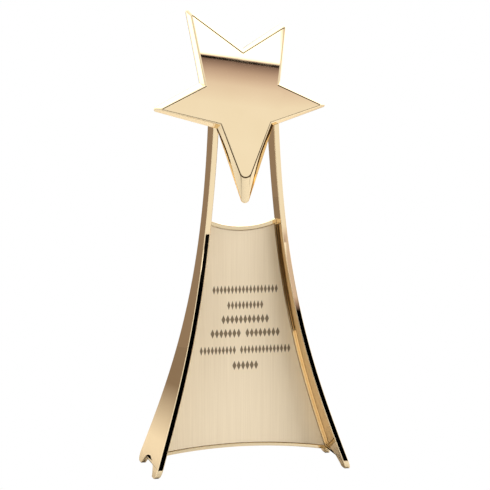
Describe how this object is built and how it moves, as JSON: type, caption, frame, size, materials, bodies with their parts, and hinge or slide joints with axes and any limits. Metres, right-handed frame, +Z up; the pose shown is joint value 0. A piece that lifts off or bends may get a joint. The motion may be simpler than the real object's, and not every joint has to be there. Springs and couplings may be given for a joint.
{
  "type": "star trophy",
  "caption": "Free-standing award: a leaning five-pointed star on two flared, bent blade legs that frame a brushed engraving plate, in polished pale gold.",
  "frame": {"origin": "on the surface the trophy stands on, midway between its four toes", "axes": "+Z up, -Y out of the star's and the plate's face, +X to the viewer's right"},
  "size_m": [0.1112, 0.0526, 0.2539],
  "materials": {
    "polished_gold": "mirror-polished pale gold plating",
    "brushed_gold": "vertically brushed pale gold",
    "screw_steel": "zinc-plated screw",
    "adhesive": "double-sided tape"
  },
  "bodies": {
    "root": {"star": "polished_gold", "star_bridge": "polished_gold", "star_screws": "screw_steel", "left_leg": "polished_gold", "right_leg": "polished_gold", "top_crossbar": "polished_gold", "bottom_bar": "polished_gold", "left_rail": "polished_gold", "right_rail": "polished_gold", "backing_panel": "polished_gold", "adhesive_sheet": "adhesive", "engraving_plate": "brushed_gold"}
  },
  "joints": []
}
